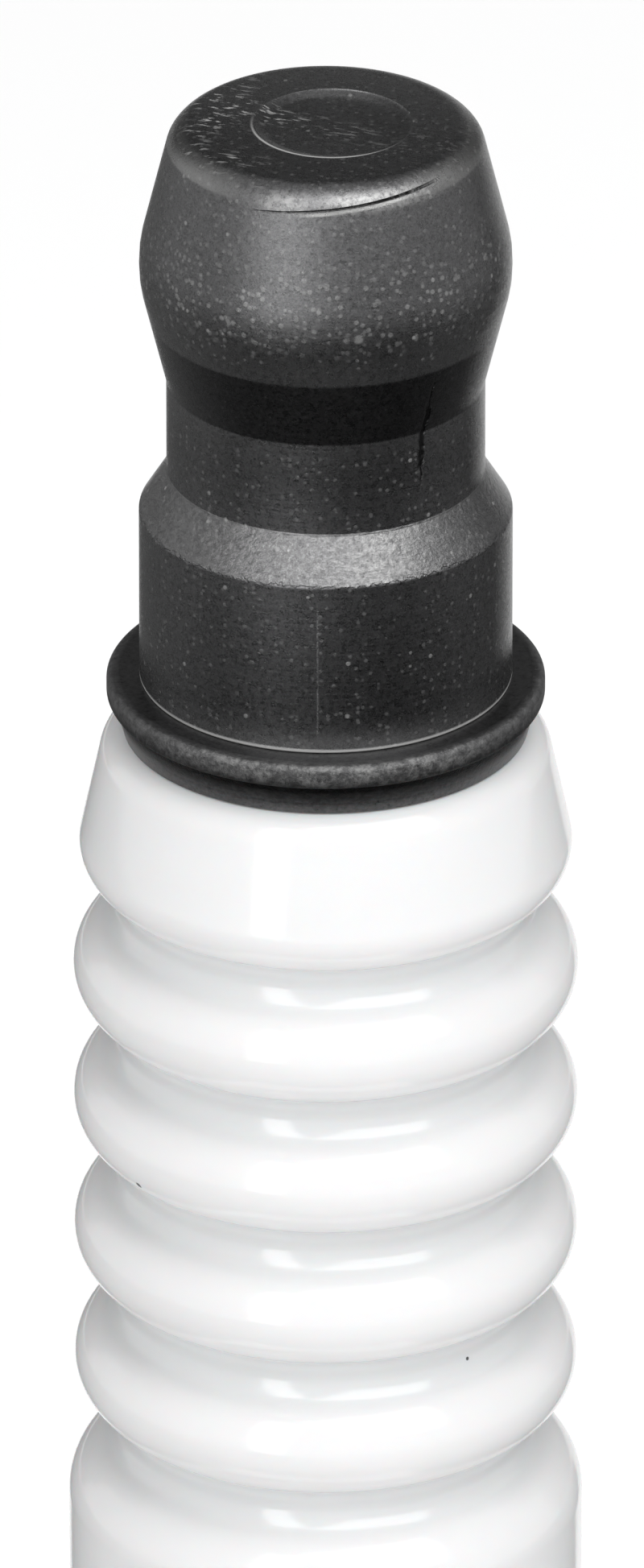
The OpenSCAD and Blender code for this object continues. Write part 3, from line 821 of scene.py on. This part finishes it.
class PLUG_OT_insulator(bpy.types.Operator):
    """Turn the ribbed insulator from its band down to its nose"""

    bl_idname = "plug.insulator"
    bl_label = "Insulator"

    def execute(self, context):
        body = sizes(context.scene.plug_insulator)
        shell = sizes(context.scene.plug_shell)
        top, tip = top_z("insulator"), foot_z("insulator")
        step = foot_z("lower_glass_seal")
        # each rib is a round crest between two half valleys, and they meet at this slope
        tilt = 2 * math.degrees(math.atan(2 * body.rib_depth / body.rib_pitch))
        wave = body.rib_pitch / 2 / math.sin(math.radians(tilt))
        crest = body.crest_share * wave
        valley = wave - crest
        floor_r = body.rib_r - body.rib_depth
        first = top - body.first_groove
        last = first - body.ribs * body.rib_pitch
        depth = body.band_r - floor_r
        lean = math.degrees(math.acos(1 - depth / (body.band_low_round + valley)))
        band_low = first + (body.band_low_round + valley) * math.sin(math.radians(lean))
        band = arc(body.band_r - body.band_low_round, band_low, body.band_low_round, 0, -lean)
        band += arc(floor_r + valley, first, valley, 180 - lean, 180)
        waves = []
        for i in range(body.ribs):
            z = first - (i + 0.5) * body.rib_pitch
            over, under = z + body.rib_pitch / 2, z - body.rib_pitch / 2
            waves += arc(floor_r + valley, over, valley, 180, 180 + tilt)
            waves += arc(body.rib_r - crest, z, crest, tilt, -tilt)
            waves += arc(floor_r + valley, under, valley, 180 - tilt, 180)
        # under the last valley the smooth head flares out at the same slope
        lift = 1 - math.cos(math.radians(tilt))
        flare = (body.head_r - floor_r) / lift - valley
        flare_z = last - (valley + flare) * math.sin(math.radians(tilt))
        seat = -shell.ledge + 0.6
        piece = turned("insulator_glazed", [
            (body.core_r, top, 0.1), (body.band_top_r, top, body.band_top_round),
            (body.band_r, band_low + 0.06, 0.9), *band, *waves,
            *arc(floor_r + valley, last, valley, 180, 180 + tilt),
            *arc(body.head_r - flare, flare_z, flare, tilt, 0),
            (body.head_r, body.barrel_top + 0.7, 0.2), (body.barrel_r, body.barrel_top, 0.25),
            (body.barrel_r, 3.33, 0.3), (body.body_r, 2.05, 0.3), (body.body_r, seat, 0.15),
            (body.seat_r, seat - body.body_r + body.seat_r, 0.3),
            (body.nose_r, tip, 0.35), (body.nose_bore_r, tip, 0.08),
            (body.nose_bore_r, step - (body.core_r - body.nose_bore_r) * SEAT_SLOPE),
            (body.core_r, step)], closed=True)
        material = glazed_alumina(context.scene.plug_finishes, body.barrel_top, top)
        finish_piece(piece, "insulator", material)
        return {"FINISHED"}


class PLUG_OT_shell(bpy.types.Operator):
    """Turn the shell, add its hexagon and cut its thread"""

    bl_idname = "plug.shell"
    bl_label = "Shell"

    def execute(self, context):
        shell = sizes(context.scene.plug_shell)
        lip_top, end = top_z("shell"), foot_z("shell")
        waist_r = shell.bore_r + shell.wall
        flange_top = shell.flange_low + shell.flange_h
        hex_top = shell.hex_low + shell.hex_h
        cone_low = 1.9
        cone_top = cone_low + (shell.bore_r - shell.low_bore_r) * 0.6
        waist_mid = (flange_top + shell.hex_low) / 2
        piece = turned("shell_plated", [
            (shell.lip_r, lip_top - 0.62), (shell.lip_r, lip_top, 0.22),
            (waist_r - 0.9, lip_top, 0.55),
            (waist_r, hex_top + 1.2, 0.9), (waist_r, hex_top - 1), (waist_r, shell.hex_low),
            (waist_r + 0.16, waist_mid, 0.9), (waist_r, flange_top, 0.12),
            (shell.flange_r, flange_top, 0.3), (shell.flange_r, shell.flange_low, 0.3),
            (shell.undercut_r, shell.flange_low, 0.15),
            (shell.undercut_r, -shell.thread_top, 0.2),
            (shell.thread_r, -shell.thread_top - 0.5, 0.05),
            (shell.thread_r, end + 0.6, 0.05), (shell.thread_r - 0.45, end, 0.08),
            (shell.low_bore_r, end, 0.12),
            (shell.low_bore_r, -shell.ledge - 2.1, 0.1),
            (shell.ledge_r, -shell.ledge - 1.55, 0.1), (shell.ledge_r, -shell.ledge - 0.55, 0.05),
            (shell.low_bore_r, -shell.ledge), (shell.low_bore_r, cone_low, 0.2),
            (shell.bore_r, cone_top), (shell.bore_r, lip_top - 1.4)], closed=True, around=128)
        combine(piece, hexagon(shell, hex_top), "UNION")
        root_r, root_half = shell.thread_r - shell.thread_depth, 0.083
        mouth_r, mouth_half = shell.thread_r + 0.06, 0.472
        groove = helix("shell_groove", [
            (root_r, -root_half), (root_r - 0.02, 0), (root_r, root_half),
            (mouth_r, mouth_half), (mouth_r, -mouth_half)],
            shell.pitch, math.ceil(-end) + 1, around=72)
        groove.data.transform(Matrix.Translation((0, 0, end - 1.2)))
        combine(piece, groove, "DIFFERENCE")
        material = turned_metal("bright_plating", context.scene.plug_finishes.plating)
        finish_piece(piece, "shell", material, sharp=28.0)
        return {"FINISHED"}


def hexagon(shell, hex_top):
    """The shell's hexagon, with its corners turned off at both ends and eased edges."""
    corner_r = shell.flat / math.cos(math.radians(30))
    drop = (corner_r - shell.flat + 0.1) * math.tan(math.radians(30))
    bm = bmesh.new()
    bmesh.ops.create_cone(
        bm, cap_ends=True, segments=6, radius1=corner_r, radius2=corner_r,
        depth=hex_top - shell.hex_low,
        matrix=Matrix.Translation((0, 0, (shell.hex_low + hex_top) / 2)))
    uprights = [e for e in bm.edges if abs(e.verts[0].co.z - e.verts[1].co.z) > 1]
    bmesh.ops.bevel(
        bm, geom=uprights, affect="EDGES", offset=0.18, offset_type="OFFSET", segments=3,
        profile=0.5, material=-1)
    prism = new_object("hexagon", bm)
    cone = turned("hexagon_trim", [
        (0, shell.hex_low), (shell.flat - 0.1, shell.hex_low, 0.1),
        (corner_r + 0.05, shell.hex_low + drop), (corner_r + 0.05, hex_top - drop),
        (shell.flat - 0.1, hex_top, 0.1), (0, hex_top)], around=144)
    combine(prism, cone, "INTERSECT")
    return bore_out(prism, shell, hex_top)


def bore_out(prism, shell, hex_top):
    """Clears the hexagon's middle, so that it joins the turned shell as a ring."""
    bm = bmesh.new()
    bmesh.ops.create_cone(
        bm, cap_ends=True, segments=128, radius1=shell.bore_r + 0.4,
        radius2=shell.bore_r + 0.4, depth=hex_top - shell.hex_low + 2,
        matrix=Matrix.Translation((0, 0, (shell.hex_low + hex_top) / 2)))
    return combine(prism, new_object("hexagon_bore", bm), "DIFFERENCE")


class PLUG_OT_gasket(bpy.types.Operator):
    """Turn the folded gasket"""

    bl_idname = "plug.gasket"
    bl_label = "Gasket"

    def execute(self, context):
        ends = sizes(context.scene.plug_ends)
        low = foot_z("gasket")
        high, middle = low + ends.gasket_h, low + ends.gasket_h / 2
        fold = ends.gasket_h / 2 - 0.02
        piece = turned("gasket_folded", [
            (ends.gasket_in_r, low, 0.48), (ends.gasket_r, low, fold),
            (ends.gasket_r, high, fold), (ends.gasket_in_r, high, 0.48),
            (ends.gasket_in_r, middle + 0.12, 0.1), (ends.gasket_r - 1, middle + 0.12),
            (ends.gasket_r - 0.9, middle), (ends.gasket_r - 1, middle - 0.12),
            (ends.gasket_in_r, middle - 0.12, 0.1)], closed=True, around=128)
        material = turned_metal("gasket_plating", context.scene.plug_finishes.gasket,
                                rough=(0.26, 0.40), grain_depth=0.008)
        finish_piece(piece, "gasket", material)
        return {"FINISHED"}


class PLUG_OT_centre_electrode(bpy.types.Operator):
    """Turn the centre electrode"""

    bl_idname = "plug.centre_electrode"
    bl_label = "Centre Electrode"

    def execute(self, context):
        ends = sizes(context.scene.plug_ends)
        core = sizes(context.scene.plug_insulator)
        low, high = foot_z("centre_electrode"), top_z("centre_electrode")
        shoulder = high - 1.4
        head_r = core.core_r - 0.1
        piece = turned("centre_electrode_turned", [
            (0, low), (ends.electrode_r, low, 0.06),
            (ends.electrode_r, shoulder - (head_r - ends.electrode_r) * SEAT_SLOPE, 0.1),
            (head_r, shoulder, 0.05), (head_r, shoulder + 0.5, 0.1),
            (ends.electrode_r, shoulder + 0.7, 0.05), (ends.electrode_r, high, 0.15),
            (0, high)], around=96)
        finish_piece(piece, "centre_electrode", nickel_alloy(context.scene))
        return {"FINISHED"}


def nickel_alloy(scene):
    """The electrodes' shared nickel finish."""
    found = bpy.data.materials.get("nickel_alloy")
    return found or turned_metal("nickel_alloy", scene.plug_finishes.nickel,
                                 rough=(0.3, 0.46), lines=0.002, grain_depth=0.012)


class PLUG_OT_side_electrode(bpy.types.Operator):
    """Bend the side electrode from its strip and weld it on"""

    bl_idname = "plug.side_electrode"
    bl_label = "Side Electrode"

    def execute(self, context):
        ends = sizes(context.scene.plug_ends)
        low, high = foot_z("side_electrode"), top_z("side_electrode")
        out_r, in_r = ends.strap_out, ends.strap_out - ends.strap_t
        face = low + ends.strap_t
        bm = bmesh.new()
        outline(bm, [
            (out_r, high), (out_r, low, ends.bend + ends.strap_t), (-ends.electrode_r, low),
            (-ends.electrode_r, face), (in_r, face, ends.bend), (in_r, high)], closed=True)
        side = bmesh.ops.contextual_create(bm, geom=bm.edges[:])["faces"]
        bmesh.ops.translate(bm, verts=bm.verts, vec=(0, -ends.strap_w / 2, 0))
        moved = bmesh.ops.extrude_face_region(bm, geom=side, use_keep_orig=True)["geom"]
        far = [item for item in moved if isinstance(item, bmesh.types.BMVert)]
        bmesh.ops.translate(bm, verts=far, vec=(0, ends.strap_w, 0))
        bmesh.ops.recalc_face_normals(bm, faces=bm.faces)
        rims = [edge for edge in bm.edges if edge.calc_face_angle(0) > math.radians(60)
                and max(v.co.z for v in edge.verts) < high - 0.01]
        bmesh.ops.bevel(
            bm, geom=rims, affect="EDGES", offset=0.12, offset_type="OFFSET", segments=3,
            profile=0.5, material=-1)
        piece = new_object("side_electrode_bent", bm)
        combine(piece, weld_flash(ends, high), "UNION")
        finish_piece(piece, "side_electrode", nickel_alloy(context.scene), sharp=40.0)
        return {"FINISHED"}


def weld_flash(ends, seam_z):
    """The low rounded flash that welding squeezed out round the strap's root."""
    bm = bmesh.new()
    middle = (ends.strap_out - ends.strap_t / 2, 0, seam_z - 0.13)
    shape = Matrix.Diagonal((ends.strap_t + 0.25, ends.strap_w + 0.4, 0.26, 1))
    bmesh.ops.create_cube(bm, size=1, matrix=Matrix.Translation(middle) @ shape)
    bmesh.ops.bevel(
        bm, geom=bm.edges[:], affect="EDGES", offset=0.11, offset_type="OFFSET", segments=4,
        profile=0.5, material=-1)
    return new_object("weld_flash", bm)


class PLUG_OT_inner_pieces(bpy.types.Operator):
    """Finish the solids that lie sealed inside the plug"""

    bl_idname = "plug.inner_pieces"
    bl_label = "Inner Pieces"

    def execute(self, context):
        colours = context.scene.plug_finishes
        seal = pressed_powder("seal_glass", colours.seal, 0.35, sparkle=0.4)
        steel = turned_metal("washer_steel", colours.plating, rough=(0.3, 0.42))
        finishes = {
            "upper_glass_seal": seal,
            "lower_glass_seal": seal,
            "resistor": pressed_powder("resistor_glass", colours.carbon, 0.5),
            "copper_core": turned_metal("copper", colours.copper),
            "seat_washer": steel,
            "lower_wire_ring": steel,
            "upper_wire_ring": steel,
            "talc_packing": pressed_powder("pressed_talc", colours.talc, 0.85),
        }
        for node, material in finishes.items():
            solid = frame["nodes"][node]
            solid.data.materials.clear()
            solid.data.materials.append(material)
        return {"FINISHED"}


# ---------------------------------------------------------------- the stage


def toward(azimuth, elevation, distance):
    """A point at a distance, azimuth degrees to the right of the camera's side."""
    a, e = math.radians(azimuth), math.radians(elevation)
    return Vector((math.sin(a) * math.cos(e), -math.cos(a) * math.cos(e), math.sin(e))) * distance


def soft_light(name, middle, azimuth, elevation, wide, high, radiance, distance=0.4):
    """An area light that covers so many degrees each way, seen from the plug."""
    light = bpy.data.lights.new(name, "AREA")
    light.shape = "RECTANGLE"
    light.size = 2 * distance * math.tan(math.radians(wide / 2))
    light.size_y = 2 * distance * math.tan(math.radians(high / 2))
    light.energy = radiance * math.pi * light.size * light.size_y
    lamp = bpy.data.objects.new(name, light)
    lamp.location = middle + toward(azimuth, elevation, distance)
    lamp.rotation_euler = (middle - lamp.location).to_track_quat("-Z", "Y").to_euler()
    lamp.visible_camera = False
    bpy.context.scene.collection.objects.link(lamp)


def glow(name, brightness):
    """A matt surface of one even brightness."""
    paint = Finish(name, Roughness=1.0, Base_Color=(0, 0, 0, 1), Emission_Color=(1, 1, 1, 1),
                   Emission_Strength=brightness)
    paint.surface.inputs["Specular IOR Level"].default_value = 0.0
    return paint.material


def only_reflected(made, brightness):
    """Makes a stage card show in reflections and nowhere else."""
    made.data.materials.append(glow(made.name, brightness))
    made.visible_camera = False
    made.visible_diffuse = False
    made.visible_transmission = False
    made.visible_shadow = False


def card(name, corners, height, brightness):
    """A flat card that lies just over the floor."""
    bm = bmesh.new()
    bmesh.ops.contextual_create(bm, geom=[bm.verts.new((x, y, height)) for x, y in corners])
    only_reflected(new_object(name, bm), brightness)


def reflector(name, middle, azimuth, elevation, wide, high, brightness, distance=0.4):
    """A card that stands round the plug and covers so many degrees each way."""
    bm = bmesh.new()
    place = Matrix.Translation(middle + toward(azimuth, elevation, distance))
    facing = toward(azimuth, elevation, 1).to_track_quat("Z", "Y").to_matrix().to_4x4()
    spans = [2 * distance * math.tan(math.radians(angle / 2)) for angle in (wide, high)]
    bmesh.ops.create_grid(
        bm, x_segments=1, y_segments=1, size=0.5,
        matrix=place @ facing @ Matrix.Diagonal((spans[0], spans[1], 1, 1)))
    only_reflected(new_object(name, bm), brightness)


class PLUG_OT_studio(bpy.types.Operator):
    """Set up the floor, the lights and the camera"""

    bl_idname = "plug.studio"
    bl_label = "Studio"

    def execute(self, context):
        scene = context.scene
        studio = scene.plug_studio
        collar = Vector((0, 0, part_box("terminal_nut")[0].z))
        self.floor(CAD_BOX[0].z - studio.floor_gap)
        self.world(scene, studio.sky)
        # the lights and the standing cards face a point on the axis by the first rib
        middle = collar - Vector((0, 0, 5 * MM))
        soft_light("strip_left", middle, azimuth=-26, elevation=26, wide=16, high=66,
                   radiance=studio.strip)
        soft_light("box_right", middle, azimuth=35, elevation=50, wide=43, high=50,
                   radiance=studio.box)
        near, far, wide, back_slant = 28 * MM, 300 * MM, 260 * MM, 0.55
        level = CAD_BOX[0].z + MM
        card("front_card", [(-wide, -far), (wide, -far), (wide, -near), (-wide, -near)],
             level, studio.dark)
        card("left_card", [(-wide, -near), (-near, -near), (-near, wide), (-wide, wide)],
             level, 1.15 * studio.dim)
        card("right_card", [(near, -near), (wide, -near), (wide, wide),
                            (back_slant * wide, wide), (back_slant * near, near)],
             level, 0.75 * studio.dim)
        # azimuth, elevation, width and height are in degrees, as for the lights
        for name, azimuth, elevation, width, height, brightness in (
                ("left_wall", -157, 8, 46, 50, 0.7 * studio.dim),
                ("left_glow", -95, 0, 70, 60, 1.25 * studio.sky),
                ("right_wall", 142, 2, 44, 34, studio.dim),
                ("back_wall", 180, 34, 100, 50, studio.grey)):
            reflector(name, middle, azimuth, elevation, width, height, brightness)
        self.camera(scene, studio, collar)
        scene.view_settings.view_transform = "Standard"
        return {"FINISHED"}

    def floor(self, height):
        """A wide pale floor."""
        bm = bmesh.new()
        bmesh.ops.create_circle(bm, cap_ends=True, segments=96, radius=4.0)
        bmesh.ops.translate(bm, verts=bm.verts, vec=(0, 0, height))
        ground = new_object("studio_floor", bm)
        paint = Finish("floor_paint", Roughness=0.9)
        shade = paint.mix(paint.noise(0.02), (0.93, 0.93, 0.93, 1), (0.95, 0.95, 0.95, 1))
        ground.data.materials.append(paint.lay(Base_Color=shade))

    def world(self, scene, brightness):
        """Even white walls."""
        world = bpy.data.worlds.new("studio_walls")
        world.use_nodes = True
        sky = world.node_tree.nodes["Background"]
        sky.inputs["Color"].default_value = (1, 1, 1, 1)
        sky.inputs["Strength"].default_value = brightness
        scene.world = world

    def camera(self, scene, studio, collar):
        """A long lens that looks down at the terminal."""
        data = bpy.data.cameras.new("camera")
        data.sensor_width = 36.0
        data.lens = studio.lens
        data.clip_start, data.clip_end = 0.01, 50.0
        eye = bpy.data.objects.new("camera", data)
        scene.collection.objects.link(eye)
        elevation = math.degrees(studio.elevation)
        eye.location = collar + toward(0, elevation, studio.camera_gap)
        target = collar - Vector((studio.aim_side, 0, studio.aim_drop))
        look = (target - eye.location).to_track_quat("-Z", "Y").to_matrix().to_4x4()
        spin = Matrix.Rotation(studio.roll, 4, "Z")
        eye.rotation_euler = (look @ spin).to_euler()
        scene.camera = eye


class PLUG_PT_panel(bpy.types.Panel):
    """Lists the plug's sizes and the operators that make it."""

    bl_label = "Spark Plug"
    bl_idname = "PLUG_PT_panel"
    bl_space_type = "VIEW_3D"
    bl_region_type = "UI"
    bl_category = "Spark Plug"

    def draw(self, context):
        for operator in OPERATORS:
            self.layout.operator(operator.bl_idname)
        for name, group in GROUPS.items():
            box = self.layout.box()
            box.label(text=group.__doc__)
            for prop in group.__annotations__:
                box.prop(getattr(context.scene, name), prop)


OPERATORS = (
    PLUG_OT_studio,
    PLUG_OT_terminal_nut,
    PLUG_OT_terminal_stem,
    PLUG_OT_insulator,
    PLUG_OT_shell,
    PLUG_OT_gasket,
    PLUG_OT_centre_electrode,
    PLUG_OT_side_electrode,
    PLUG_OT_inner_pieces,
)
CLASSES = (*GROUPS.values(), *OPERATORS, PLUG_PT_panel)


def register():
    for cls in CLASSES:
        bpy.utils.register_class(cls)
    for name, group in GROUPS.items():
        setattr(bpy.types.Scene, name, bpy.props.PointerProperty(type=group))


def unregister():
    for name in GROUPS:
        delattr(bpy.types.Scene, name)
    for cls in reversed(CLASSES):
        bpy.utils.unregister_class(cls)


def main():
    """Builds the plug and its stage."""
    register()
    for operator in OPERATORS:
        group, name = operator.bl_idname.split(".")
        getattr(getattr(bpy.ops, group), name)()


if __name__ == "__main__":
    main()
